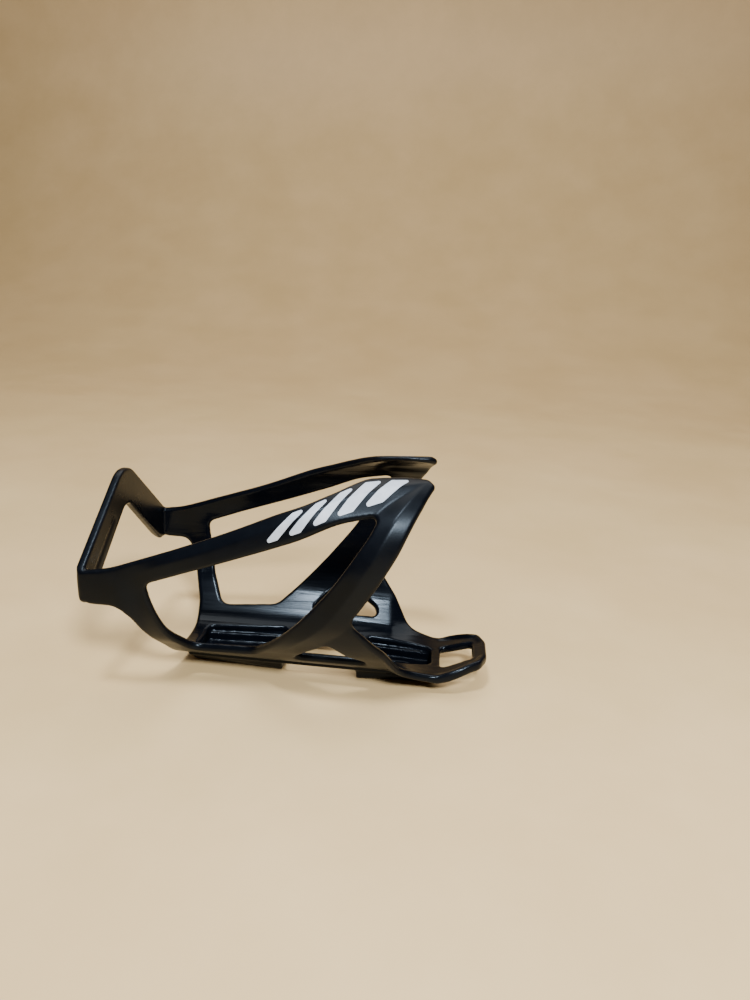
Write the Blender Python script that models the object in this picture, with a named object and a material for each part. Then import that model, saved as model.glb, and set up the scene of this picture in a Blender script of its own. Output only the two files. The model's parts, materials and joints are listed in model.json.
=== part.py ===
"""Water bottle cage for a bicycle, lying on the two mount faces that meet the frame tube.

+X runs along the tube from the foot of the bottle to its neck, +Z from the tube to the bottle.
Y = 0 is the plane of symmetry and Z = 0 is the mount plane. Each piece is modelled with X = 0 midway
between the two bolts, and an empty then carries them all, so that the whole cage is centred in X.

The cage is laid out flat and wrapped round the bottle. A place on the flat layout is a station
along X and an angle round the bottle, from 0 at the tube side up to 180 at the far side.
"""
import math

import bmesh
import bpy
from mathutils import Vector

MM = 0.001

# Overall sizes
BOTTLE_RADIUS = 37.0 * MM        # inside of the cage
WALL = 3.2 * MM                  # thickness of every wrapped member
LOWER_REACH = 81.8 * MM          # from the middle of the bolts to the face of the bottle stop
UPPER_REACH = 67.0 * MM          # from the middle of the bolts to the end of the tab
BOLT_SPACING = 64.0 * MM
GAP = 0.3 * MM                   # clearance between neighbouring members

# Mounts under the spine
MOUNT_THICKNESS = 4.0 * MM       # mount face to the underside of the spine
MOUNT_TOP_HALF_WIDTH = 12.4 * MM
LOWER_FACE_HALF_WIDTH = 8.7 * MM
UPPER_FACE_HALF_WIDTH = 10.0 * MM
OUTER_FACE_SHARE = 0.7           # how far a mount face narrows towards the ends of the cage
LOWER_MOUNT = (-18.5 * MM, 18.5 * MM)      # ends of the lower mount, from its bolt
UPPER_MOUNT = (-15.7 * MM, 15.0 * MM)      # ends of the upper mount, from its bolt
POCKET_WALL = 2.0 * MM
POCKET_FLOOR = 2.3 * MM          # thickness of the floor that the bolt clamps
LOWER_POCKET_HALF_WIDTHS = (7.6 * MM, 10.6 * MM)      # at its foot end and its inner end
UPPER_POCKET_HALF_WIDTHS = (9.5 * MM, 8.2 * MM, 6.5 * MM)      # inner end, bend and tab end
POCKET_BEND = 8.0 * MM           # how far the bend of the upper pocket is from its tab end
TRAY_HALF_WIDTH = 6.4 * MM       # the tray in each mount, under the opening
BOLT_SLOT_WIDTH = 5.5 * MM
BOLT_SLOT_LENGTH = 9.0 * MM
RAIL_INNER = 10.2 * MM           # the rails between the mounts, from the plane of symmetry
RAIL_OUTER = 12.2 * MM
RAIL_HEIGHT = 3.7 * MM           # the rails stand this far off the tube

# Slotted tab at the neck end
TAB_RISE = 4.9 * MM              # how far the end of the tab bends back up
TAB_HALF_WIDTH = 17.2 * MM
TAB_END_HALF_WIDTH = 12.0 * MM
TAB_SLOT = (49.0 * MM, 61.4 * MM)
TAB_SLOT_HALF_WIDTHS = (8.3 * MM, 6.4 * MM)

# Bottle stop at the foot end
STOP_THICKNESS = 3.2 * MM
STOP_APEX_TOP = 33.9 * MM        # sharp apex of the upper outline, above the bottle axis
STOP_APEX_UNDER = 18.9 * MM
STOP_TOP_RADIUS = 9.0 * MM
STOP_UNDER_RADIUS = 6.0 * MM
STOP_INSET = 0.5 * MM            # how far its sides stand in from the members beside it

# Where members meet: angles round the bottle in degrees, and stations in millimetres
CHEEK_LOWER = 77.2
CHEEK_UPPER = 95.4
CHEEK_ROOT = 76.5
SPINE_EDGE = 42.0
ARM_ROOT = -55.6
STRUT_SIDE = -35.0
TAB_ROOT = 47.2
WINDOW_APEX = (24.2, 134.5)
TIP_CORNER = (42.2, 152.8)
CROTCH = (15.4, 74.7)

# Where the arms bow outwards from the bottle
BOW = 4.2 * MM
BOW_STATIONS = (-42.0 * MM, -1.0 * MM)
BOW_ANGLES = (92.0, 134.0)

# Where the spine turns from round to flat
FLAT_STATIONS = (28.0 * MM, 48.0 * MM)
FLAT_ANGLES = (28.0, 58.0)
TAB_BEND = (47.0 * MM, 65.0 * MM)

ROUND_STEPS = 4                  # segments in a rounded corner
WRAP_STEP = 6.0                  # degrees between the folds of a wrapped member
FLAT_STEP = 4.0 * MM             # spacing of the folds across the tab

WELD = 0.001 * MM
NOMINAL_HALF_SPACING = 32.0 * MM
AXIS_HEIGHT = BOTTLE_RADIUS + WALL + GAP + MOUNT_THICKNESS
LOWER_BOLT = -BOLT_SPACING / 2
UPPER_BOLT = BOLT_SPACING / 2


# ---------------------------------------------------------------- layout helpers

def smooth(value, start, end):
    """0 before start, 1 after end, with a soft turn between."""
    share = min(max((value - start) / (end - start), 0.0), 1.0)
    return share * share * (3.0 - 2.0 * share)


def ramp(value, start, end):
    """0 before start, 1 after end, straight between."""
    return min(max((value - start) / (end - start), 0.0), 1.0)


def station(millimetres):
    """A place along X. Between the bolts it follows their spacing, past a bolt it keeps its distance."""
    x = millimetres * MM
    middle = min(max(x, -NOMINAL_HALF_SPACING), NOMINAL_HALF_SPACING)
    return middle * UPPER_BOLT / NOMINAL_HALF_SPACING + (x - middle)


def round_the_bottle(degrees):
    """Length along the layout for an angle round the bottle."""
    return BOTTLE_RADIUS * math.radians(degrees)


def on_layout(millimetres, degrees, radius=0.0):
    """A corner of an outline on the flat layout, with the radius it is rounded to, in millimetres."""
    return Vector((station(millimetres), round_the_bottle(degrees))), radius * MM


def rounded(corners):
    """The closed outline through corners, with each corner that has a radius turned into an arc."""
    outline = []
    for index, (corner, radius) in enumerate(corners):
        before = corners[index - 1][0] - corner
        after = corners[(index + 1) % len(corners)][0] - corner
        if radius <= 0.0:
            outline.append(corner)
            continue
        half_angle = before.angle(after) / 2
        reach = radius / math.tan(half_angle)
        reach = min(reach, 0.45 * before.length, 0.45 * after.length)
        radius = reach * math.tan(half_angle)
        middle = (before.normalized() + after.normalized()).normalized()
        centre = corner + middle * (radius / math.sin(half_angle))
        start = corner + before.normalized() * reach - centre
        end = corner + after.normalized() * reach - centre
        turn = start.angle_signed(end)
        for step in range(ROUND_STEPS + 1):
            angle = -turn * step / ROUND_STEPS
            cosine = math.cos(angle)
            sine = math.sin(angle)
            outline.append(centre + Vector((start.x * cosine - start.y * sine,
                                            start.x * sine + start.y * cosine)))
    return outline


# ---------------------------------------------------------------- outlines

def pocket_span(bolt, ends):
    """The two ends of a bolt pocket, inside the walls of its mount."""
    return bolt + ends[0] + POCKET_WALL, bolt + ends[1] - POCKET_WALL


def both_sides(corners):
    """Corners on the right side, followed by their mirror images back to the start."""
    mirrored = [(Vector((place.x, -place.y)), radius) for place, radius in reversed(corners)]
    return corners + mirrored


def cage_outline():
    """The outer edge of the whole cage on the layout."""
    cheek_end = -LOWER_REACH + STOP_THICKNESS + GAP
    return rounded(both_sides([
        on_layout(-54.8, 12, 30),
        on_layout(-56.8, 33, 30),
        on_layout(-60.2, 49.5, 30),
        on_layout(-63.6, 68, 10),
        on_layout(-67.0, CHEEK_LOWER, 5),
        (Vector((cheek_end, round_the_bottle(CHEEK_LOWER))), 0.0),
        (Vector((cheek_end, round_the_bottle(CHEEK_UPPER))), 0.0),
        on_layout(-70, 98.0, 40),
        on_layout(-47.7, 110.2),
        on_layout(-12.7, 130.7, 40),
        on_layout(-2.7, 136.0, 30),
        on_layout(8, 145.2, 20),
        on_layout(18, 156.5, 6),
        on_layout(31, 158.8, 10),
        on_layout(39.4, 157.0, 2),
        on_layout(*TIP_CORNER),
        on_layout(38.2, 139.5, 60),
        on_layout(31.6, 117, 60),
        on_layout(*CROTCH, 4),
        on_layout(21.2, 64.5, 12),
        on_layout(28.2, 49.0, 15),
        on_layout(35.6, 30.0, 12),
        (Vector((station(45.0), TAB_HALF_WIDTH)), 20 * MM),
        (Vector((station(55.5), TAB_HALF_WIDTH - 0.8 * MM)), 20 * MM),
        (Vector((UPPER_REACH - 2.5 * MM, TAB_END_HALF_WIDTH)), 3 * MM),
        (Vector((UPPER_REACH, TAB_END_HALF_WIDTH - 6 * MM)), 6 * MM),
    ]))


def tab_slot():
    """The slot through the tab, wider at its root."""
    root, end = (station(x / MM) for x in TAB_SLOT)
    return rounded(both_sides([
        (Vector((root, TAB_SLOT_HALF_WIDTHS[0])), 1.5 * MM),
        (Vector((end, TAB_SLOT_HALF_WIDTHS[1])), 1.5 * MM),
    ]))


def lower_pocket():
    """The opening over the lower mount, wider at its inner end."""
    start, end = pocket_span(LOWER_BOLT, LOWER_MOUNT)
    return rounded(both_sides([
        (Vector((start, LOWER_POCKET_HALF_WIDTHS[0])), 2 * MM),
        (Vector((end, LOWER_POCKET_HALF_WIDTHS[1])), 2 * MM),
    ]))


def upper_pocket():
    """The opening over the upper mount, narrower and rounder towards the tab."""
    start, end = pocket_span(UPPER_BOLT, UPPER_MOUNT)
    inner, bend, outer = UPPER_POCKET_HALF_WIDTHS
    return rounded(both_sides([
        (Vector((start, inner)), 2 * MM),
        (Vector((end - POCKET_BEND, bend)), 8 * MM),
        (Vector((end, outer)), 3 * MM),
    ]))


def middle_opening():
    """The opening in the spine between the two mounts."""
    start = LOWER_BOLT + LOWER_MOUNT[1]
    end = UPPER_BOLT + UPPER_MOUNT[0]
    return rounded(both_sides([
        (Vector((start, LOWER_POCKET_HALF_WIDTHS[1])), 2 * MM),
        (Vector((end, UPPER_POCKET_HALF_WIDTHS[0])), 2 * MM),
    ]))


def large_window():
    """The opening between the arm, the band, the spine and the strut."""
    return rounded([
        on_layout(-57.4, 90.2, 2.5),
        on_layout(-22.7, 109.3),
        on_layout(-2.7, 119.7, 60),
        on_layout(10, 128.8, 40),
        on_layout(*WINDOW_APEX, 2.5),
        on_layout(21.0, 124, 20),
        on_layout(7.3, 93.3, 60),
        on_layout(-2.7, 72.8, 60),
        on_layout(-22.5, 34.8, 5),
        on_layout(-46.2, 31.2, 5),
        on_layout(-52.6, 54.5, 20),
        on_layout(-56.6, 82, 20),
    ])


def small_window():
    """The opening between the foot of the band, the leg and the spine."""
    return rounded([
        on_layout(6.5, 59, 3),
        on_layout(-2.0, 45.5, 12),
        on_layout(-7.5, 31.5, 2),
        on_layout(21.4, 32, 2.5),
        on_layout(19.8, 39, 4),
        on_layout(13.5, 46, 12),
    ])


def stop_outline():
    """The chevron of the bottle stop, in Y and height above the bottle axis."""
    outer = BOTTLE_RADIUS + WALL
    half_width = outer - STOP_INSET
    low = -outer * math.cos(math.radians(CHEEK_LOWER))
    high = -outer * math.cos(math.radians(CHEEK_UPPER))
    return rounded([
        (Vector((-half_width, high)), 1.5 * MM),
        (Vector((0, STOP_APEX_TOP)), STOP_TOP_RADIUS),
        (Vector((half_width, high)), 1.5 * MM),
        (Vector((half_width, low)), 3 * MM),
        (Vector((half_width - 5 * MM, low)), 3 * MM),
        (Vector((0, STOP_APEX_UNDER)), STOP_UNDER_RADIUS),
        (Vector((5 * MM - half_width, low)), 3 * MM),
        (Vector((-half_width, low)), 3 * MM),
    ])


# ---------------------------------------------------------------- Blender helpers

def start_collections():
    """Empty the file and make one collection for the cage and one for its cutters."""
    for item in list(bpy.data.objects):
        bpy.data.objects.remove(item, do_unlink=True)
    cage = bpy.data.collections.new("bottle_cage")
    cutters = bpy.data.collections.new("cutters")
    bpy.context.scene.collection.children.link(cage)
    bpy.context.scene.collection.children.link(cutters)
    return cage, cutters


def nylon(name):
    """Black moulded nylon with a satin face."""
    material = bpy.data.materials.new(name + "_nylon")
    material.use_nodes = True
    shader = material.node_tree.nodes["Principled BSDF"]
    shader.inputs["Base Color"].default_value = (0.012, 0.013, 0.016, 1.0)
    shader.inputs["Roughness"].default_value = 0.38
    shader.inputs["Metallic"].default_value = 0.0
    return material


def plate(name, loops, thickness, collection):
    """A flat plate with the first loop as its outline and the others as holes, as a welded mesh object."""
    curve = bpy.data.curves.new(name + "_outline", "CURVE")
    curve.dimensions = "2D"
    curve.fill_mode = "BOTH"
    curve.extrude = thickness / 2
    for loop in loops:
        spline = curve.splines.new("POLY")
        spline.points.add(len(loop) - 1)
        for point, place in zip(spline.points, loop):
            point.co = (place.x, place.y, 0.0, 1.0)
        spline.use_cyclic_u = True
    source = bpy.data.objects.new(name + "_outline", curve)
    collection.objects.link(source)
    evaluated = source.evaluated_get(bpy.context.evaluated_depsgraph_get())
    mesh = bpy.data.meshes.new_from_object(evaluated)
    matrix = source.matrix_world.copy()
    bpy.data.objects.remove(source, do_unlink=True)
    shape = bmesh.new()
    shape.from_mesh(mesh)
    bmesh.ops.remove_doubles(shape, verts=shape.verts, dist=WELD)
    face_outwards(shape)
    shape.to_mesh(mesh)
    shape.free()
    result = bpy.data.objects.new(name, mesh)
    result.matrix_world = matrix
    collection.objects.link(result)
    return result


def face_outwards(shape):
    """Turn every face of a closed solid outwards."""
    bmesh.ops.recalc_face_normals(shape, faces=shape.faces)
    if shape.calc_volume(signed=True) < 0:
        bmesh.ops.reverse_faces(shape, faces=shape.faces)


def cut_off(shape, point, direction):
    """Remove what lies past a plane, and close the cut."""
    everything = list(shape.verts) + list(shape.edges) + list(shape.faces)
    bmesh.ops.bisect_plane(shape, geom=everything, dist=WELD, plane_co=point,
                           plane_no=direction, clear_outer=True)
    rims = [edge for edge in shape.edges if edge.is_boundary]
    bmesh.ops.holes_fill(shape, edges=rims, sides=0)


def fold_lines(shape, axis, places):
    """Add lines across a flat member, so that it can follow the wrap."""
    for place in places:
        point = Vector((0, 0, 0))
        point[axis] = place
        direction = Vector((0, 0, 0))
        direction[axis] = 1
        everything = list(shape.verts) + list(shape.edges) + list(shape.faces)
        bmesh.ops.bisect_plane(shape, geom=everything, dist=WELD, plane_co=point,
                               plane_no=direction)


def wrap(place):
    """Carry a point of the layout (station, length round the bottle, depth of wall) onto the cage."""
    x, along, depth = place
    angle = along / BOTTLE_RADIUS
    degrees = abs(math.degrees(angle))
    bow = BOW * smooth(x, *span(BOW_STATIONS)) * smooth(degrees, *BOW_ANGLES)
    radius = BOTTLE_RADIUS + depth + bow
    y = -radius * math.sin(angle)
    z = -radius * math.cos(angle)
    flat = ramp(x, *span(FLAT_STATIONS)) * (1.0 - smooth(degrees, *FLAT_ANGLES))
    y += flat * (-along - y)
    z += flat * (-BOTTLE_RADIUS - depth - z)
    z += TAB_RISE * smooth(x, *span(TAB_BEND))
    return Vector((x, y, z + AXIS_HEIGHT))


def span(stations):
    """Where along X something starts and ends."""
    return [station(value / MM) for value in stations]


def member(name, sheet, cuts, collection, other_side=False):
    """One member: what the cuts leave of the flat sheet, wrapped round the bottle."""
    shape = bmesh.new()
    shape.from_mesh(sheet)
    for point, direction in cuts:
        cut_off(shape, point, direction)
    low = min(vertex.co.y for vertex in shape.verts)
    high = max(vertex.co.y for vertex in shape.verts)
    step = round_the_bottle(WRAP_STEP)
    fold_lines(shape, 1, [index * step for index in range(math.ceil(low / step), math.ceil(high / step))])
    start = span(FLAT_STATIONS)[0]
    end = max(vertex.co.x for vertex in shape.verts)
    fold_lines(shape, 0, [start + index * FLAT_STEP for index in range(math.ceil((end - start) / FLAT_STEP))])
    bmesh.ops.triangulate(shape, faces=shape.faces)
    for vertex in shape.verts:
        vertex.co = wrap((vertex.co.x, vertex.co.y, vertex.co.z + WALL / 2))
        if other_side:
            vertex.co.y = -vertex.co.y
    face_outwards(shape)
    mesh = bpy.data.meshes.new(name)
    shape.to_mesh(mesh)
    shape.free()
    mesh.materials.append(nylon(name))
    result = bpy.data.objects.new(name, mesh)
    collection.objects.link(result)
    return result


def box(name, low, high, collection):
    """A box between two corners, as a mesh object at the origin."""
    shape = bmesh.new()
    bmesh.ops.create_cube(shape, size=1.0)
    for vertex in shape.verts:
        for axis in range(3):
            vertex.co[axis] = high[axis] if vertex.co[axis] > 0 else low[axis]
    mesh = bpy.data.meshes.new(name)
    shape.to_mesh(mesh)
    shape.free()
    result = bpy.data.objects.new(name, mesh)
    collection.objects.link(result)
    return result


def as_cutter(item):
    """Keep a cutter out of the model."""
    item.hide_render = True
    item.display_type = "WIRE"
    return item


def subtract(target, cutter, label):
    """Cut one solid with another."""
    modifier = target.modifiers.new(label, "BOOLEAN")
    modifier.operation = "DIFFERENCE"
    modifier.solver = "EXACT"
    modifier.object = cutter


# ---------------------------------------------------------------- the cage

def line(first, second):
    """A cut along the line through two places of the layout, facing to its right."""
    start, end = first[0], second[0]
    run = (end - start).normalized()
    return Vector((start.x, start.y, 0)), Vector((run.y, -run.x, 0))


def keep(cut, side):
    """The side of a cut that a member keeps, half a gap back from the cut: -1 left, 1 right."""
    point, direction = cut
    outwards = -direction * side
    return point - outwards * GAP / 2, outwards


def wrapped_members(cage, cutters):
    """The spine, the tab, and on each side the cheek, strut, arm, band and leg."""
    loops = [cage_outline(), lower_pocket(), middle_opening(), upper_pocket(), tab_slot()]
    for window in (large_window(), small_window()):
        loops.append(window)
        loops.append([Vector((place.x, -place.y)) for place in window])
    flat = plate("layout", loops, WALL, cutters)

    root = line(on_layout(-100, SPINE_EDGE), on_layout(100, SPINE_EDGE))
    left_root = line(on_layout(-100, -SPINE_EDGE), on_layout(100, -SPINE_EDGE))
    cheek_root = line(on_layout(-100, CHEEK_ROOT), on_layout(100, CHEEK_ROOT))
    arm_root = line(on_layout(ARM_ROOT, 0), on_layout(ARM_ROOT, 90))
    mitre = line(on_layout(*WINDOW_APEX), on_layout(*TIP_CORNER))
    crotch = line(on_layout(-2.5, SPINE_EDGE), on_layout(*CROTCH))
    strut_side = line(on_layout(STRUT_SIDE, 0), on_layout(STRUT_SIDE, 90))
    tab_root = line(on_layout(TAB_ROOT, 0), on_layout(TAB_ROOT, 90))
    left, right = -1, 1

    member("spine", flat.data, [keep(root, right), keep(left_root, left), keep(tab_root, left)], cage)
    member("upper_tab", flat.data, [keep(tab_root, right), keep(root, right), keep(left_root, left)], cage)
    sides = {
        "cheek": [keep(cheek_root, left), keep(arm_root, left)],
        "strut": [keep(root, left), keep(cheek_root, right), keep(strut_side, left)],
        "arm": [keep(arm_root, right), keep(cheek_root, left), keep(mitre, left)],
        "band": [keep(root, left), keep(strut_side, right), keep(mitre, right), keep(crotch, left)],
        "leg": [keep(root, left), keep(crotch, right)],
    }
    for name, cuts in sides.items():
        member("right_" + name, flat.data, cuts, cage)
        member("left_" + name, flat.data, cuts, cage, other_side=True)
    bpy.data.objects.remove(flat, do_unlink=True)


def bottle_stop(cage):
    """The chevron across the foot of the cage, which the base of the bottle stands on."""
    stop = plate("bottle_stop", [stop_outline()], STOP_THICKNESS, cage)
    for vertex in stop.data.vertices:
        across, up, depth = vertex.co
        vertex.co = (depth, across, up)
    stop.location = (-LOWER_REACH + STOP_THICKNESS / 2, 0, AXIS_HEIGHT)
    stop.data.materials.append(nylon("bottle_stop"))


def mount(name, bolt, ends, outer_end, face_half_width, cage, cutters):
    """A block under the spine with a mount face, a pocket for the bolt head and a slot for the bolt."""
    low, high = bolt + ends[0], bolt + ends[1]
    block = box(name, (low, -MOUNT_TOP_HALF_WIDTH, 0), (high, MOUNT_TOP_HALF_WIDTH, MOUNT_THICKNESS), cage)
    for vertex in block.data.vertices:
        outer = (vertex.co.x < bolt) == (outer_end < 0)
        if vertex.co.z < MOUNT_THICKNESS / 2:
            narrow = face_half_width * (OUTER_FACE_SHARE if outer else 1.0)
            vertex.co.y = math.copysign(narrow, vertex.co.y)
    start, end = pocket_span(bolt, ends)
    pocket = as_cutter(box(name + "_pocket", (start, -TRAY_HALF_WIDTH, POCKET_FLOOR),
                           (end, TRAY_HALF_WIDTH, AXIS_HEIGHT), cutters))
    slot = as_cutter(box(name + "_slot", (bolt - BOLT_SLOT_LENGTH / 2, -BOLT_SLOT_WIDTH / 2, -WALL),
                         (bolt + BOLT_SLOT_LENGTH / 2, BOLT_SLOT_WIDTH / 2, AXIS_HEIGHT), cutters))
    subtract(block, pocket, "pocket")
    subtract(block, slot, "bolt slot")
    block.data.materials.append(nylon(name))


def rails(cage):
    """The two low rails under the spine that join the mounts."""
    low = LOWER_BOLT + LOWER_MOUNT[1] + GAP
    high = UPPER_BOLT + UPPER_MOUNT[0] - GAP
    top = AXIS_HEIGHT - math.sqrt((BOTTLE_RADIUS + WALL) ** 2 - RAIL_INNER ** 2) - GAP
    widths = {"right_rail": (-RAIL_OUTER, -RAIL_INNER), "left_rail": (RAIL_INNER, RAIL_OUTER)}
    for name, (right, left) in widths.items():
        rail = box(name, (low, right, RAIL_HEIGHT), (high, left, top), cage)
        rail.data.materials.append(nylon(name))


def centre(*collections):
    """Carry every piece and cutter on an empty that centres the cage in X."""
    frame = bpy.data.objects.new("cage_frame", None)
    frame.location.x = (LOWER_REACH - UPPER_REACH) / 2
    bpy.context.scene.collection.objects.link(frame)
    for collection in collections:
        for item in collection.objects:
            item.parent = frame


def build():
    """Model the whole cage."""
    cage, cutters = start_collections()
    wrapped_members(cage, cutters)
    bottle_stop(cage)
    mount("lower_mount", LOWER_BOLT, LOWER_MOUNT, -1, LOWER_FACE_HALF_WIDTH, cage, cutters)
    mount("upper_mount", UPPER_BOLT, UPPER_MOUNT, 1, UPPER_FACE_HALF_WIDTH, cage, cutters)
    rails(cage)
    centre(cage, cutters)


build()
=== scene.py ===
"""A moulded nylon bottle cage with a printed mark on each arm, on a pale floor.

The cage is laid out flat, where a place is a station along X and a length round the bottle, given an even
skin, shaped through its thickness, and then wrapped round the bottle. The stop, the rails and the mounts
are modelled beside it and grown into the same moulding. Lengths in the lists are millimetres.
"""
import json
import math

import bpy
import numpy as np
from mathutils import Matrix, Vector


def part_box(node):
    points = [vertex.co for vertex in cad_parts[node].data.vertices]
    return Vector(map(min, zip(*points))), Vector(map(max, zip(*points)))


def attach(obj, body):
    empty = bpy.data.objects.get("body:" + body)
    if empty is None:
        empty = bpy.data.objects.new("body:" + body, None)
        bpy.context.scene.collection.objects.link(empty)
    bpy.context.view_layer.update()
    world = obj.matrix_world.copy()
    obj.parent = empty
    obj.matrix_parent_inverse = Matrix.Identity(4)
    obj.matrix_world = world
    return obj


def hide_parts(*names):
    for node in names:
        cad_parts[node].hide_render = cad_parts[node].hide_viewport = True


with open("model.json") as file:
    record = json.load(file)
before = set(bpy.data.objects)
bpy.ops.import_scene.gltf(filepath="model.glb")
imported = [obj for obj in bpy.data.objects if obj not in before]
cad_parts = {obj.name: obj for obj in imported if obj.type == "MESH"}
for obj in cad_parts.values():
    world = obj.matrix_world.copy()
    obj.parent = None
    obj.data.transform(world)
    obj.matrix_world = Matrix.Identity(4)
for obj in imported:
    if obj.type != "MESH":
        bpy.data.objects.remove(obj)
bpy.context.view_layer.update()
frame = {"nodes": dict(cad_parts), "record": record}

MM = 0.001
record = frame["record"]

# ---------------------------------------------------------------- sizes taken from the frame

openings = {item["name"]: item["box_m"] for item in record["physics"]["openings"]}
mounts = {item["name"]: item["pos_m"] for item in record["mounts"]}
space = openings["bottle_space_square"]
AXIS_HEIGHT = (space[0][2] + space[1][2]) / 2
BOLT_OFFSET = 8 * MM             # the bolts are this far towards the neck from the recorded mount faces
MIDDLE = (mounts["lower_mount_face"][0] + mounts["upper_mount_face"][0]) / 2 + BOLT_OFFSET
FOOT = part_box("bottle_stop")[0][0] - MIDDLE
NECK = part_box("upper_tab")[1][0] - MIDDLE
STOP_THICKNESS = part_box("bottle_stop")[1][0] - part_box("bottle_stop")[0][0]
MOUNT_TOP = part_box("lower_mount")[1][2]

BOTTLE_RADIUS = 37.0 * MM
WALL = 3.2 * MM
LOWER_BOLT = -32.0
UPPER_BOLT = 32.0
BOW = 4.2                        # how far the arms bow away from the bottle
PINCH = 2.2                      # how far the lower members press in on it
TAB_RISE = 4.9                   # how far the tab bends up at the neck


# ---------------------------------------------------------------- working by hand

def alone(item):
    """Select one object and make it the active one."""
    for other in list(bpy.context.selected_objects):
        other.select_set(False)
    item.select_set(True)
    bpy.context.view_layer.objects.active = item
    return item


def edit(item, tool, **settings):
    """Use one mesh tool on the whole of an object."""
    alone(item)
    bpy.ops.object.mode_set(mode="EDIT")
    bpy.ops.mesh.select_all(action="SELECT")
    tool(**settings)
    bpy.ops.object.mode_set(mode="OBJECT")


def outwards(item):
    """Turn every face of a closed piece outwards."""
    edit(item, bpy.ops.mesh.normals_make_consistent, inside=False)


def finish_with(item, kind, **settings):
    """Add a modifier, set it and apply it."""
    alone(item)
    modifier = item.modifiers.new(kind.lower(), kind)
    for name, value in settings.items():
        setattr(modifier, name, value)
    bpy.ops.object.modifier_apply(modifier=modifier.name)


def points_of(item):
    """The corners of a mesh, as rows of X, Y and Z."""
    flat = np.empty(len(item.data.vertices) * 3)
    item.data.vertices.foreach_get("co", flat)
    return flat.reshape(-1, 3)


def put_points(item, points):
    """Move the corners of a mesh."""
    item.data.vertices.foreach_set("co", points.reshape(-1))
    item.data.update()


def cut_with(item, cutter, operation="DIFFERENCE"):
    """Cut a piece with another, or add the other to it, and throw the other away."""
    alone(item)
    modifier = item.modifiers.new("cut", "BOOLEAN")
    modifier.operation = operation
    modifier.solver = "EXACT"
    modifier.object = cutter
    bpy.ops.object.modifier_apply(modifier=modifier.name)
    bpy.data.objects.remove(cutter, do_unlink=True)


def block(name, low, high):
    """A block between two corners, given in millimetres as station, Y and height over the mount plane."""
    for other in list(bpy.context.selected_objects):
        other.select_set(False)
    bpy.ops.mesh.primitive_cube_add(size=1.0)
    item = bpy.context.object
    item.name = name
    points = points_of(item) + 0.5
    low = np.array(low) * MM
    high = np.array(high) * MM
    put_points(item, low + points * (high - low))
    return item


def plate(name, loops, thickness):
    """A flat plate with the first loop as its edge and the rest as holes, in millimetres."""
    curve = bpy.data.curves.new(name, "CURVE")
    curve.dimensions = "2D"
    curve.fill_mode = "BOTH"
    curve.extrude = thickness / 2
    for loop in loops:
        spline = curve.splines.new("POLY")
        spline.points.add(len(loop) - 1)
        for point, place in zip(spline.points, loop):
            point.co = (place[0] * MM, place[1] * MM, 0, 1)
        spline.use_cyclic_u = True
    item = bpy.data.objects.new(name, curve)
    bpy.context.scene.collection.objects.link(item)
    alone(item)
    bpy.ops.object.convert(target="MESH")
    item = bpy.context.object
    edit(item, bpy.ops.mesh.remove_doubles, threshold=0.001 * MM)
    outwards(item)
    return item


# ---------------------------------------------------------------- the flat layout

def around(degrees):
    """Millimetres round the bottle for an angle."""
    return BOTTLE_RADIUS / MM * math.radians(degrees)


def rounded(corners, steps=6):
    """A closed outline with its corners turned into arcs. A corner is station, length round, radius."""
    outline = []
    count = len(corners)
    for index, (x, y, radius) in enumerate(corners):
        corner = Vector((x, y))
        before = Vector(corners[index - 1][:2]) - corner
        after = Vector(corners[(index + 1) % count][:2]) - corner
        if radius <= 0:
            outline.append((x, y))
            continue
        half = before.angle(after) / 2
        reach = min(radius / math.tan(half), 0.45 * before.length, 0.45 * after.length)
        radius = reach * math.tan(half)
        towards = (before.normalized() + after.normalized()).normalized()
        centre = corner + towards * radius / math.sin(half)
        start = corner + before.normalized() * reach - centre
        end = corner + after.normalized() * reach - centre
        turn = start.angle_signed(end)
        for step in range(steps + 1):
            spot = centre + Matrix.Rotation(-turn * step / steps, 2) @ start
            outline.append((spot.x, spot.y))
    return outline


def by_angle(places):
    """Corners given as station, degrees and radius, put on the layout."""
    return [(x, around(degrees), radius) for x, degrees, radius in places]


def both_sides(corners):
    """Corners on the right side, and their mirror images back to the start."""
    return corners + [(x, -y, radius) for x, y, radius in reversed(corners)]


foot = FOOT / MM
neck = NECK / MM

CAGE_EDGE = rounded(both_sides(by_angle([
    (-54.8, 12, 30), (-56.8, 33, 30), (-60.2, 49.5, 30), (-63.6, 68, 12), (-67.5, 77.0, 6),
    (foot, 77.0, 7), (foot, 95.4, 1.5),
    (-70, 98.0, 40), (-47.7, 110.2, 60), (-12.7, 130.7, 60), (-2.7, 136.0, 50), (8, 145.2, 30),
    (18, 156.5, 9), (31, 158.8, 14), (39.4, 157.0, 4), (42.2, 152.8, 1.2),
    (38.2, 139.5, 60), (31.6, 117, 60), (15.4, 74.7, 5), (21.2, 64.5, 12), (28.2, 49.0, 18), (35.6, 30.0, 14),
]) + [(45.0, 17.2, 20), (55.5, 16.4, 20), (neck - 2.5, 12.0, 4), (neck, 6.0, 6)]))

LARGE_WINDOW = rounded(by_angle([
    (-57.4, 90.2, 3), (-42.7, 98.6, 60), (-22.7, 109.3, 60), (-2.7, 119.7, 60), (10, 128.8, 40),
    (24.2, 134.5, 2.5),
    (21.0, 124, 20), (7.3, 93.3, 60), (-2.7, 72.8, 60), (-22.5, 34.8, 6), (-46.2, 31.2, 5),
    (-52.6, 54.5, 20), (-56.6, 82, 20),
]))

SMALL_WINDOW = rounded(by_angle([
    (7.5, 56.5, 3), (-1.5, 45.5, 12), (-7.5, 31.5, 2), (21.4, 32, 2.5), (19.8, 39, 4), (13.5, 46, 12),
]))

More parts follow.
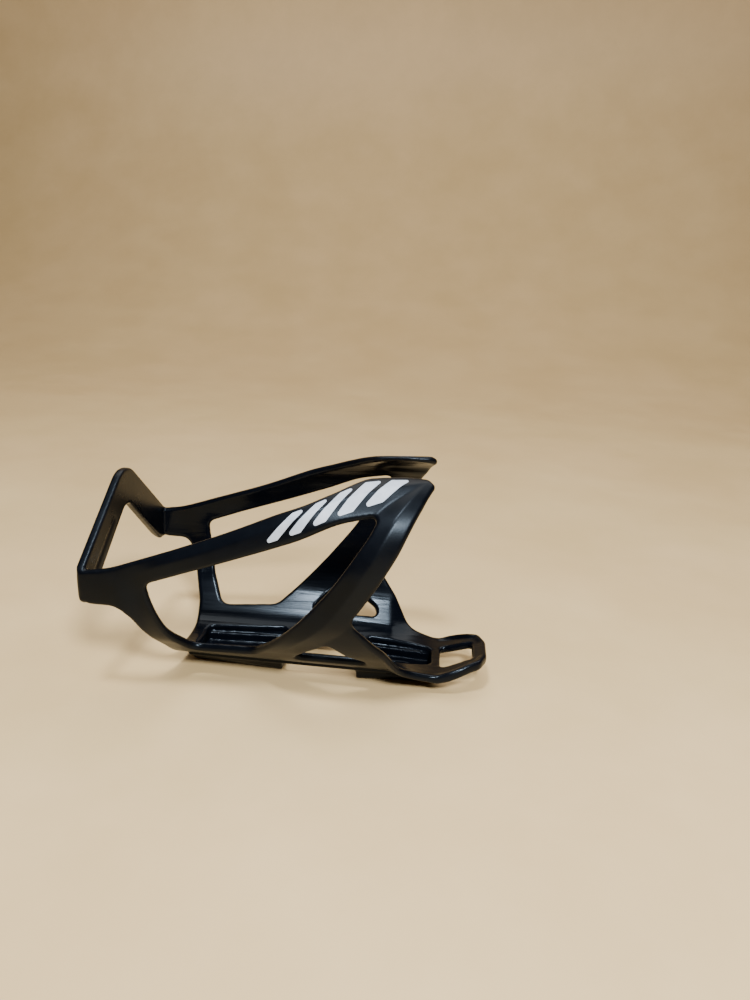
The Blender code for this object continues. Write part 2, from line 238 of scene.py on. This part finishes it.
LOWER_POCKET = rounded(both_sides([(-48.5, 7.6, 2), (-15.5, 10.4, 1.5)]))
MIDDLE_OPENING = rounded(both_sides([(-13.5, 10.4, 1.5), (16.3, 9.6, 1.5)]))
UPPER_POCKET = rounded(both_sides([(18.3, 9.5, 1.5), (37.0, 8.2, 8), (45.0, 6.5, 3)]))
TAB_SLOT = rounded(both_sides([(49.0, 8.3, 1.8), (61.4, 6.4, 1.8)]))

ARM_RIDGE = [(x, around(degrees)) for x, degrees in (
    (-66, 93.5), (-54, 100.0), (-40, 108.1), (-20, 119.3), (0, 130.8), (12, 140.5), (24, 147.4), (39, 153.0))]
BAND_RIDGE = [(x, around(degrees)) for x, degrees in (
    (39, 153.0), (30.5, 134), (24, 115), (15.7, 95), (7.4, 76), (-3.0, 60), (-11.5, 45))]


def mirrored(loop):
    """The same loop on the other side of the cage."""
    return [(x, -y) for x, y in loop]


def away_from(points, line, closed=True):
    """How far each point of the layout is from a line, in millimetres."""
    starts = np.array(line)
    ends = np.roll(starts, -1, axis=0)
    if not closed:
        starts, ends = starts[:-1], ends[:-1]
    nearest = np.full(len(points), 1e9)
    for start, end in zip(starts, ends):
        run = end - start
        length = max(run @ run, 1e-9)
        share = np.clip(((points - start) @ run) / length, 0, 1)
        gap = points - start - share[:, None] * run
        nearest = np.minimum(nearest, (gap ** 2).sum(axis=1))
    return np.sqrt(nearest)


def smooth(value, start, end):
    """0 before start, 1 after end, with a soft turn between."""
    share = np.clip((value - start) / (end - start), 0, 1)
    return share * share * (3 - 2 * share)


# ---------------------------------------------------------------- thickness and wrap

EDGE_ROUND = 1.0                 # radius of the outer edges
FOOT_ROUND = 2.4                 # radius where the sides turn into the foot
RIDGE_HEIGHT = 4.1               # wall at the crease of the arms and bands
RIDGE_SLOPE = 0.24               # how fast the wall thins away from the crease
ARM_EDGE = 2.3                   # wall at the edges of the arms and bands
SHEET_GRAIN = 0.6 * MM           # mesh size of the flat sheet


def outer_skin(x, along):
    """How far the outer face stands off the bottle, in millimetres."""
    degrees = np.degrees(np.abs(along) / (BOTTLE_RADIUS / MM))
    place = np.stack([x, np.abs(along)], axis=1)
    ridge = np.minimum(away_from(place, ARM_RIDGE, False), away_from(place, BAND_RIDGE, False))
    facets = np.maximum(RIDGE_HEIGHT - RIDGE_SLOPE * ridge, ARM_EDGE)
    share = smooth(degrees, 44, 66) * smooth(x, -66, -46)
    leg = smooth(x, 16, 24) * (1 - smooth(degrees, 66, 78))
    share = share * (1 - 0.7 * leg)
    return (1 - share) * WALL / MM + share * facets


def inner_skin(x, along, edge):
    """How far the inner face stands off the bottle, in millimetres."""
    degrees = np.degrees(np.abs(along) / (BOTTLE_RADIUS / MM))
    rails = -1.0 * smooth(x, 45, 53) * (1 - smooth(edge, 1.2, 3.6)) * (1 - smooth(degrees, 40, 60))
    tip = 0.9 * smooth(x, 16, 25) * smooth(degrees, 139, 146)
    return rails + tip


def wrap(x, along, depth):
    """Carry places of the layout onto the cage: station, length round the bottle, depth of wall."""
    radius = BOTTLE_RADIUS / MM
    angle = along / radius
    degrees = np.degrees(np.abs(angle))
    distance = radius + depth + BOW * smooth(x, -42, -1) * smooth(degrees, 92, 134)
    pinch = smooth(degrees, 16, 42) * (1 - smooth(degrees, 82, 108))
    distance = distance - PINCH * pinch * smooth(x, -68, -58) * (1 - smooth(x, 26, 40))
    y = -distance * np.sin(angle)
    z = -distance * np.cos(angle)
    flat = np.clip((x - 28) / 20, 0, 1) * (1 - smooth(degrees, 28, 58))
    y = y + flat * (-along - y)
    z = z + flat * (-radius - depth - z)
    z = z + TAB_RISE * smooth(x, 47, 65)
    return np.stack([x * MM + MIDDLE, y * MM, z * MM + AXIS_HEIGHT], axis=1)


def round_corner(inset, radius):
    """How far a rounded corner lies back, for a distance in from the face that it turns to."""
    short = np.clip(radius - inset, 0, radius)
    return radius - np.sqrt(radius ** 2 - short ** 2)


def wrapped_sheet():
    """The spine, struts, cheeks, arms, bands, legs and tab, as one skin round the bottle."""
    loops = [CAGE_EDGE, LOWER_POCKET, MIDDLE_OPENING, UPPER_POCKET, TAB_SLOT]
    for window in (LARGE_WINDOW, SMALL_WINDOW):
        loops += [window, mirrored(window)]
    sheet = plate("cage_moulding", loops, WALL)
    finish_with(sheet, "REMESH", mode="VOXEL", voxel_size=SHEET_GRAIN)
    points = points_of(sheet) / MM
    x, along, level = points[:, 0], points[:, 1], points[:, 2] / (WALL / MM)
    place = np.stack([x, along], axis=1)
    outline = away_from(place, CAGE_EDGE)
    edge = outline
    for loop in loops[1:]:
        edge = np.minimum(edge, away_from(place, loop))
    outer = outer_skin(x, along) - round_corner(x - foot, FOOT_ROUND)
    inner = inner_skin(x, along, outline)
    half = (outer - inner) / 2
    round_off = np.clip(EDGE_ROUND - edge, 0, EDGE_ROUND)
    half_here = half - (EDGE_ROUND - np.sqrt(EDGE_ROUND ** 2 - round_off ** 2))
    depth = (outer + inner) / 2 + 2 * np.clip(level, -0.5, 0.5) * half_here
    put_points(sheet, wrap(x, along, depth))
    outwards(sheet)
    return sheet


# ---------------------------------------------------------------- stop, rails and mounts

STOP_HALF_WIDTH = 39.8
STOP_CORNER = 2.9                # how far the bottom corners of the stop are turned back
STOP_CORNER_REACH = 6            # over this height
CHANNEL_DEPTH = 1.0 * MM
RAIL_ENDS = (-51.6, 48.2)
RAIL_SIDES = (9.8, 12.1)
PAD_HALF_WIDTH = 12.0
OUTER_FACE_SHARE = 0.7           # how far a mount face narrows towards the ends of the cage
SLOT_HALF_LENGTH = 4.5
SLOT_HALF_WIDTH = 2.75
SLOT_ROUND = 2.7

def upright(item, x):
    """Stand a flat plate up across the cage at a station, its Y upwards from the bottle axis."""
    points = points_of(item)
    put_points(item, np.stack([points[:, 2] + x + MIDDLE, points[:, 0], points[:, 1] + AXIS_HEIGHT], axis=1))
    outwards(item)
    return item


def bottle_stop():
    """The chevron across the foot, with a shallow channel down the inner face of its right leg."""
    stop = plate("stop", [rounded([
        (-STOP_HALF_WIDTH, 3.9, 1.5), (0, 34.7, 12), (STOP_HALF_WIDTH, 3.9, 1.5), (STOP_HALF_WIDTH, -8.9, 3),
        (33.5, -8.9, 4), (0, 18.9, 6), (-33.5, -8.9, 4), (-STOP_HALF_WIDTH, -8.9, 3)], 10)], STOP_THICKNESS)
    upright(stop, FOOT + STOP_THICKNESS / 2)
    channel = plate("channel", [rounded([
        (-33.3, -3.4, 0.6), (-34.9, -2.2, 0.6), (-12.6, 15.9, 0.6), (-11.4, 14.2, 0.6)])], CHANNEL_DEPTH)
    upright(channel, FOOT + STOP_THICKNESS)
    cut_with(stop, channel)
    finish_with(stop, "REMESH", mode="VOXEL", voxel_size=0.5 * MM)
    points = points_of(stop)
    inset = (points[:, 0] - MIDDLE) / MM - foot
    low = np.clip(-STOP_CORNER - (points[:, 2] - AXIS_HEIGHT) / MM, 0, STOP_CORNER_REACH - 0.01)
    turned = STOP_CORNER * (1 - np.sqrt(1 - (low / STOP_CORNER_REACH) ** 2))
    points[:, 0] += np.maximum(turned - inset, 0) * MM
    reach = (STOP_HALF_WIDTH - round_corner(inset, FOOT_ROUND)) * MM
    points[:, 1] = np.clip(points[:, 1], -reach, reach)
    put_points(stop, points)
    return stop


def rail(side):
    """One of the two walls under the spine that run past the pockets and join the mounts."""
    top = MOUNT_TOP / MM
    item = block("rail", (RAIL_ENDS[0], RAIL_SIDES[0], top - 0.3), (RAIL_ENDS[1], RAIL_SIDES[1], top + 2.6))
    points = points_of(item)
    under = points[:, 2] < (top + 1) * MM
    points[under & (points[:, 1] > 11 * MM), 2] += 0.9 * MM
    points[under & (points[:, 0] > 0), 0] -= 2.0 * MM
    points[under & (points[:, 0] < 0), 0] += 1.0 * MM
    points[:, 1] *= side
    put_points(item, points)
    outwards(item)
    return item


def mount_body():
    """Both mounts under the spine with the rails, their pockets and bolt slots."""
    top = MOUNT_TOP / MM
    body = rail(1)
    cut_with(body, rail(-1), "UNION")
    for bolt, low, high, face, outer_low in ((LOWER_BOLT, -18.5, 18.5, 8.7, True),
                                             (UPPER_BOLT, -15.7, 15.0, 10.0, False)):
        pad = block("pad", (bolt + low, -PAD_HALF_WIDTH, 0.0), (bolt + high, PAD_HALF_WIDTH, top + 1.6))
        points = points_of(pad)
        for point in points:
            outer = (point[0] < bolt * MM) == outer_low
            if point[2] < 1 * MM:
                point[1] = math.copysign(face * (OUTER_FACE_SHARE if outer else 1.0) * MM, point[1])
        put_points(pad, points)
        edit(pad, bpy.ops.mesh.bevel, offset=0.5 * MM, segments=2)
        cut_with(body, pad, "UNION")
    for start, end, narrow, wide in ((-48.5, -15.5, 7.5, 10.2), (18.3, 45.0, 9.3, 6.3)):
        tray = plate("tray", [rounded(both_sides([(start, narrow, 1.5), (end, wide, 1.5)]))], 20 * MM)
        points = points_of(tray)
        points[points[:, 2] < 0, 1] *= 0.84
        points[:, 2] += 12.3 * MM
        put_points(tray, points)
        cut_with(body, tray)
    for bolt in (LOWER_BOLT, UPPER_BOLT):
        slot = plate("slot", [rounded([
            (bolt - SLOT_HALF_LENGTH, -SLOT_HALF_WIDTH, SLOT_ROUND),
            (bolt + SLOT_HALF_LENGTH, -SLOT_HALF_WIDTH, SLOT_ROUND),
            (bolt + SLOT_HALF_LENGTH, SLOT_HALF_WIDTH, SLOT_ROUND),
            (bolt - SLOT_HALF_LENGTH, SLOT_HALF_WIDTH, SLOT_ROUND)])], 30 * MM)
        cut_with(body, slot)
    points = points_of(body)
    points[:, 0] += MIDDLE
    put_points(body, points)
    return body


MOULDING_GRAIN = 0.45 * MM
MOULDING_FACES = 96000


def moulding():
    """The whole cage, grown together as it comes out of its mould."""
    cage = wrapped_sheet()
    parts = [bottle_stop(), mount_body()]
    alone(cage)
    for part in parts:
        part.select_set(True)
    bpy.ops.object.join()
    finish_with(cage, "REMESH", mode="VOXEL", voxel_size=MOULDING_GRAIN)
    finish_with(cage, "SMOOTH", factor=0.5, iterations=3)
    finish_with(cage, "DECIMATE", ratio=min(1.0, MOULDING_FACES / max(len(cage.data.polygons), 1)))
    outwards(cage)
    alone(cage)
    bpy.ops.object.shade_smooth()
    return cage


# ---------------------------------------------------------------- the printed marks

# start and width of each bar, as stations
BARS = ((-10.5, 5.0), (-3.0, 5.2), (4.8, 5.6), (13.0, 6.2), (22.0, 7.0))
PRINT_LEAN = 4.5                 # half of how far a bar leans along the arm
INK = 0.06                       # thickness of the ink
BAR_BLANK = 0.4                  # thickness that a bar is modelled at, before it is pressed down to the ink's


def arm_middle(x):
    """Length round the bottle of the middle of the arm at a station, and half its printed width."""
    upper = np.interp(x, (-47.7, -12.7, -2.7, 8, 18, 31, 39), (110.2, 130.7, 136.0, 145.2, 155.0, 158, 156.5))
    lower = np.interp(x, (-42.7, -22.7, -2.7, 10, 24.2, 39), (98.6, 109.3, 119.7, 128.8, 137.5, 149.5))
    return around((upper + lower) / 2), around((upper - lower) / 2) - 1.8


def print_mark(name, side, cage):
    """Slanted bars of pale ink along the outer face of one arm."""
    parts = []
    for start, width in BARS:
        corners = []
        for x, level in ((start, -1), (start + width, -1), (start + width, 1), (start, 1)):
            x = x + PRINT_LEAN * level
            middle, half = arm_middle(x)
            corners.append((x, middle + half * level, 0.7))
        bar = plate("bar", [rounded(corners, 4)], BAR_BLANK * MM)
        finish_with(bar, "REMESH", mode="VOXEL", voxel_size=0.13 * MM)
        parts.append(bar)
    alone(parts[0])
    for part in parts[1:]:
        part.select_set(True)
    bpy.ops.object.join()
    mark = bpy.context.object
    mark.name = name
    points = points_of(mark) / MM
    x, along, level = points[:, 0], points[:, 1], points[:, 2]
    put_points(mark, wrap(x, along * side, outer_skin(x, along) + BAR_BLANK))
    finish_with(mark, "SHRINKWRAP", target=cage, wrap_method="NEAREST_SURFACEPOINT",
                wrap_mode="ABOVE_SURFACE", offset=0.02 * MM)
    points = points_of(mark)
    out = points.copy()
    out[:, 0] = 0
    out[:, 2] -= AXIS_HEIGHT
    out /= np.linalg.norm(out, axis=1)[:, None]
    put_points(mark, points + out * (np.clip(level, -BAR_BLANK / 2, BAR_BLANK / 2) + BAR_BLANK / 2)[:, None]
               / BAR_BLANK * INK * MM)
    outwards(mark)
    alone(mark)
    bpy.ops.object.shade_smooth()
    return mark


# ---------------------------------------------------------------- materials

def link(tree, source, target):
    tree.links.new(source, target)


def node(tree, kind, **settings):
    """Add a shader node and set its inputs by name or its settings."""
    item = tree.nodes.new(kind)
    for name, value in settings.items():
        if hasattr(item, name):
            setattr(item, name, value)
        else:
            item.inputs[name.replace("_", " ")].default_value = value
    return item


def maths(tree, operation, first, second):
    """One sum on values that vary over the surface."""
    item = tree.nodes.new("ShaderNodeMath")
    item.operation = operation
    item.use_clamp = operation == "MULTIPLY"         # MULTIPLY_ADD is left free, for places along the cage
    for socket, value in zip(item.inputs, (first, second)):
        if isinstance(value, (int, float)):
            socket.default_value = value
        else:
            link(tree, value, socket)
    return item.outputs[0]


def ranged(tree, value, low, high, start, end):
    """A value carried from one range to another, with both ends held."""
    item = tree.nodes.new("ShaderNodeMapRange")
    item.inputs["From Min"].default_value = low
    item.inputs["From Max"].default_value = high
    item.inputs["To Min"].default_value = start
    item.inputs["To Max"].default_value = end
    link(tree, value, item.inputs["Value"])
    return item.outputs["Result"]


def new_group(name, inputs, outputs):
    """An empty shader group with named sockets, all of them plain values."""
    tree = bpy.data.node_groups.new(name, "ShaderNodeTree")
    for label, value in inputs.items():
        socket = tree.interface.new_socket(label, in_out="INPUT", socket_type="NodeSocketFloat")
        socket.default_value = value
    for label in outputs:
        tree.interface.new_socket(label, in_out="OUTPUT", socket_type="NodeSocketFloat")
    return tree, tree.nodes.new("NodeGroupInput"), tree.nodes.new("NodeGroupOutput")


def grain_group():
    """Fine moulded grain: its height, and where it has been polished."""
    tree, given, result = new_group("fine_grain", {"Size": 2300.0, "Polish Size": 90.0}, ["Height", "Polish"])
    place = tree.nodes.new("ShaderNodeTexCoord").outputs["Object"]
    fine = node(tree, "ShaderNodeTexNoise", Detail=3.0, Roughness=0.6)
    link(tree, place, fine.inputs["Vector"])
    link(tree, given.outputs["Size"], fine.inputs["Scale"])
    broad = node(tree, "ShaderNodeTexNoise", Detail=5.0, Roughness=0.65)
    link(tree, place, broad.inputs["Vector"])
    link(tree, given.outputs["Polish Size"], broad.inputs["Scale"])
    link(tree, fine.outputs["Fac"], result.inputs["Height"])
    link(tree, ranged(tree, broad.outputs["Fac"], 0.35, 0.68, 0, 1), result.inputs["Polish"])
    return tree


def flow_group():
    """Long soft streaks along the cage, where the nylon ran into the mould."""
    tree, given, result = new_group("flow_streaks", {"Length": 14.0, "Width": 210.0}, ["Streaks"])
    place = tree.nodes.new("ShaderNodeTexCoord").outputs["Object"]
    split = tree.nodes.new("ShaderNodeSeparateXYZ")
    link(tree, place, split.inputs[0])
    joined = tree.nodes.new("ShaderNodeCombineXYZ")
    link(tree, maths(tree, "MULTIPLY_ADD", split.outputs["X"], given.outputs["Length"]), joined.inputs["X"])
    for axis in "YZ":
        across = maths(tree, "MULTIPLY_ADD", split.outputs[axis], given.outputs["Width"])
        link(tree, across, joined.inputs[axis])
    noise = node(tree, "ShaderNodeTexNoise", Scale=1.0, Detail=4.0, Roughness=0.55, Distortion=0.6)
    link(tree, joined.outputs[0], noise.inputs["Vector"])
    link(tree, noise.outputs["Fac"], result.inputs["Streaks"])
    return tree


def edge_wear_and_highlight_group():
    """Rubbed edges with a painted highlight on them: 1 along the sharp outer edges, broken up by a coarse
    noise.
    """
    tree, given, result = new_group("edge_rub_and_highlight", {"Reach": 0.56, "Break Size": 420.0}, ["Mask"])
    point = tree.nodes.new("ShaderNodeNewGeometry").outputs["Pointiness"]
    place = tree.nodes.new("ShaderNodeTexCoord").outputs["Object"]
    noise = node(tree, "ShaderNodeTexNoise", Detail=3.0)
    link(tree, place, noise.inputs["Vector"])
    link(tree, given.outputs["Break Size"], noise.inputs["Scale"])
    # the sharpest convex edges get the mask: rubbed wear and a painted highlight together
    edge = tree.nodes.new("ShaderNodeMapRange")
    edge.inputs["From Min"].default_value = 0.515
    link(tree, given.outputs["Reach"], edge.inputs["From Max"])
    link(tree, point, edge.inputs["Value"])
    broken = ranged(tree, noise.outputs["Fac"], 0.3, 0.7, 0.1, 1)
    link(tree, maths(tree, "MULTIPLY", edge.outputs["Result"], broken), result.inputs["Mask"])
    return tree


def side_group():
    """1 on the faces that look away from the bottle, 0 on those that look in at it."""
    tree, given, result = new_group("outer_side", {"Axis Height": AXIS_HEIGHT}, ["Outside"])
    place = tree.nodes.new("ShaderNodeTexCoord").outputs["Object"]
    normal = tree.nodes.new("ShaderNodeNewGeometry").outputs["Normal"]
    split = tree.nodes.new("ShaderNodeSeparateXYZ")
    link(tree, place, split.inputs[0])
    height = maths(tree, "SUBTRACT", split.outputs["Z"], given.outputs["Axis Height"])
    joined = tree.nodes.new("ShaderNodeCombineXYZ")
    link(tree, split.outputs["Y"], joined.inputs["Y"])
    link(tree, height, joined.inputs["Z"])
    unit = node(tree, "ShaderNodeVectorMath", operation="NORMALIZE")
    link(tree, joined.outputs[0], unit.inputs[0])
    dot = node(tree, "ShaderNodeVectorMath", operation="DOT_PRODUCT")
    link(tree, unit.outputs[0], dot.inputs[0])
    link(tree, normal, dot.inputs[1])
    link(tree, ranged(tree, dot.outputs["Value"], -0.35, 0.1, 0, 1), result.inputs["Outside"])
    return tree


def placed(tree, group, **values):
    """A shader group placed in a material with its own values."""
    item = tree.nodes.new("ShaderNodeGroup")
    item.node_tree = group
    for name, value in values.items():
        item.inputs[name.replace("_", " ")].default_value = value
    return item


def coloured(tree, share, first, second):
    """A colour between two, by a share that varies over the surface."""
    item = tree.nodes.new("ShaderNodeMix")
    item.data_type = "RGBA"
    factor = item.inputs[0]
    colours = [socket for socket in item.inputs if socket.type == "RGBA"]
    for socket, value in zip(colours, (first, second)):
        if isinstance(value, tuple):
            socket.default_value = value
        else:
            link(tree, value, socket)
    link(tree, share, factor)
    return [socket for socket in item.outputs if socket.type == "RGBA"][0]


def mixed(tree, share, first, second):
    """A value between two others, by a share that varies over the surface."""
    item = tree.nodes.new("ShaderNodeMapRange")
    item.inputs["From Min"].default_value = 0
    item.inputs["From Max"].default_value = 1
    for name, value in (("To Min", first), ("To Max", second)):
        if isinstance(value, (int, float)):
            item.inputs[name].default_value = value
        else:
            link(tree, value, item.inputs[name])
    link(tree, share, item.inputs["Value"])
    return item.outputs["Result"]


def black_nylon(groups):
    """Black moulded nylon: fine satin grain outside, smoother and streaked inside."""
    material = bpy.data.materials.new("black_nylon")
    material.use_nodes = True
    tree = material.node_tree
    shader = tree.nodes["Principled BSDF"]
    shader.inputs["IOR"].default_value = 1.5
    shader.inputs["Specular Tint"].default_value = (0.72, 0.86, 1.0, 1)
    shader.inputs["Specular IOR Level"].default_value = 0.15
    grain = placed(tree, groups["grain"], Size=2100.0, Polish_Size=70.0)
    flow = placed(tree, groups["flow"])
    rub_and_highlight = placed(tree, groups["rub_and_highlight"])
    side = placed(tree, groups["side"])
    outside = side.outputs["Outside"]
    wear_and_highlight_mask = rub_and_highlight.outputs["Mask"]
    tone = coloured(tree, grain.outputs["Polish"], (0.0009, 0.0013, 0.0026, 1), (0.0018, 0.0024, 0.0042, 1))
    # sharp edges are lightened here: partly rubbed wear, partly a painted highlight along the edges
    wear_and_highlight_tone = coloured(tree, maths(tree, "MULTIPLY", wear_and_highlight_mask, 0.55), tone, (0.012, 0.013, 0.017, 1))
    link(tree, wear_and_highlight_tone, shader.inputs["Base Color"])
    inner = ranged(tree, flow.outputs["Streaks"], 0.3, 0.7, 0.12, 0.24)
    outer = ranged(tree, grain.outputs["Polish"], 0, 1, 0.29, 0.37)
    link(tree, mixed(tree, outside, inner, outer), shader.inputs["Roughness"])
    satin = maths(tree, "MULTIPLY", grain.outputs["Height"], mixed(tree, outside, 0.12, 1.0))
    ripple = maths(tree, "MULTIPLY", flow.outputs["Streaks"], mixed(tree, outside, 1.0, 0.1))
    fine = node(tree, "ShaderNodeBump", Strength=0.32, Distance=0.00006)
    link(tree, satin, fine.inputs["Height"])
    broad = node(tree, "ShaderNodeBump", Strength=0.45, Distance=0.00035)
    link(tree, ripple, broad.inputs["Height"])
    link(tree, fine.outputs["Normal"], broad.inputs["Normal"])
    link(tree, broad.outputs["Normal"], shader.inputs["Normal"])
    return material


def pale_ink(groups):
    """Pale silver ink with the grain of the nylon under it, thin in places."""
    material = bpy.data.materials.new("pale_ink")
    material.use_nodes = True
    tree = material.node_tree
    shader = tree.nodes["Principled BSDF"]
    shader.inputs["IOR"].default_value = 1.5
    grain = placed(tree, groups["grain"], Size=2100.0, Polish_Size=260.0)
    share = ranged(tree, grain.outputs["Polish"], 0.0, 1.0, 0.0, 1.0)
    tone = coloured(tree, share, (0.38, 0.43, 0.51, 1), (0.48, 0.52, 0.59, 1))
    link(tree, tone, shader.inputs["Base Color"])
    link(tree, ranged(tree, grain.outputs["Polish"], 0, 1, 0.34, 0.46), shader.inputs["Roughness"])
    fine = node(tree, "ShaderNodeBump", Strength=0.25, Distance=0.00005)
    link(tree, grain.outputs["Height"], fine.inputs["Height"])
    link(tree, fine.outputs["Normal"], shader.inputs["Normal"])
    return material


def pale_worktop(groups):
    """A plain, pale and slightly uneven worktop."""
    material = bpy.data.materials.new("pale_worktop")
    material.use_nodes = True
    tree = material.node_tree
    shader = tree.nodes["Principled BSDF"]
    grain = placed(tree, groups["grain"], Size=900.0, Polish_Size=9.0)
    tone = coloured(tree, grain.outputs["Polish"], (0.60, 0.42, 0.20, 1), (0.66, 0.47, 0.235, 1))
    link(tree, tone, shader.inputs["Base Color"])
    link(tree, ranged(tree, grain.outputs["Polish"], 0, 1, 0.42, 0.52), shader.inputs["Roughness"])
    return material


# ---------------------------------------------------------------- the scene

def lamp(name, place, target, width, depth, energy, colour):
    """A soft rectangular lamp that shines from a place towards a target."""
    data = bpy.data.lights.new(name, "AREA")
    data.shape = "RECTANGLE"
    data.size = width
    data.size_y = depth
    data.energy = energy
    data.color = colour
    item = bpy.data.objects.new(name, data)
    bpy.context.scene.collection.objects.link(item)
    item.location = place
    item.rotation_euler = (Vector(target) - Vector(place)).to_track_quat("-Z", "Y").to_euler()


FLOOR_SIZE = 6.0
FLOOR_GAP = 0.2 * MM             # so that the floor and the mount faces are not in one plane
WALL_HEIGHT = 2.4
SWEEP = 0.7                      # radius of the turn from the floor to the walls
LENS = 27.04
CAMERA_PLACE = (0.0498, -0.2745, 0.1516)
CAMERA_TURN = (4.8, 90 - 16.3, 3.05)      # degrees: about Z, then X, then the roll


def studio(groups):
    """A pale floor that sweeps up on every side, soft lamps and the camera."""
    for other in list(bpy.context.selected_objects):
        other.select_set(False)
    bpy.ops.mesh.primitive_plane_add(size=FLOOR_SIZE, location=(0, -1.6, -FLOOR_GAP))
    floor = bpy.context.object
    floor.name = "floor"
    bpy.ops.object.mode_set(mode="EDIT")
    bpy.ops.mesh.select_mode(type="EDGE")
    bpy.ops.mesh.select_all(action="SELECT")
    bpy.ops.mesh.extrude_edges_move(TRANSFORM_OT_translate={"value": (0, 0, WALL_HEIGHT)})
    bpy.ops.mesh.select_all(action="DESELECT")
    bpy.ops.object.mode_set(mode="OBJECT")
    for line in floor.data.edges:
        line.select = all(floor.data.vertices[index].co.z < 0.1 for index in line.vertices)
    bpy.ops.object.mode_set(mode="EDIT")
    bpy.ops.mesh.bevel(offset=SWEEP, segments=16)
    bpy.ops.object.mode_set(mode="OBJECT")
    bpy.ops.object.transform_apply(location=True, rotation=True, scale=True)
    bpy.ops.object.shade_smooth()
    floor.data.materials.append(pale_worktop(groups))

    world = bpy.data.worlds.new("room")
    bpy.context.scene.world = world
    world.use_nodes = True
    world.node_tree.nodes["Background"].inputs["Color"].default_value = (0.80, 0.84, 0.92, 1)
    world.node_tree.nodes["Background"].inputs["Strength"].default_value = 0.07
    lamp("key", (0.20, -0.52, 0.52), (0.0, 0.0, 0.04), 0.12, 0.12, 9.0, (0.93, 0.97, 1.0))
    lamp("top", (0.10, 0.55, 1.30), (0.0, 0.15, 0.0), 1.6, 1.0, 17.0, (1.0, 0.96, 0.90))
    lamp("side", (-0.10, -0.30, 0.95), (0.0, 0.0, 0.04), 0.14, 0.14, 8.0, (0.90, 0.95, 1.0))

    camera = bpy.data.cameras.new("camera")
    camera.lens = LENS
    camera.sensor_width = 36
    view = bpy.data.objects.new("camera", camera)
    bpy.context.scene.collection.objects.link(view)
    swing, tilt, roll = (math.radians(degrees) for degrees in CAMERA_TURN)
    turn = Matrix.Rotation(swing, 3, "Z") @ Matrix.Rotation(tilt, 3, "X") @ Matrix.Rotation(roll, 3, "Z")
    view.rotation_euler = turn.to_euler()
    view.location = CAMERA_PLACE
    bpy.context.scene.camera = view


groups = {"grain": grain_group(), "flow": flow_group(), "rub_and_highlight": edge_wear_and_highlight_group(), "side": side_group()}
cage = moulding()
cage.data.materials.clear()
cage.data.materials.append(black_nylon(groups))
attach(cage, "root")
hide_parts(*frame["nodes"].keys())
ink = pale_ink(groups)
for name, side in (("right_print", 1), ("left_print", -1)):
    mark = print_mark(name, side, cage)
    mark.data.materials.clear()
    mark.data.materials.append(ink)
    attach(mark, "root")
studio(groups)
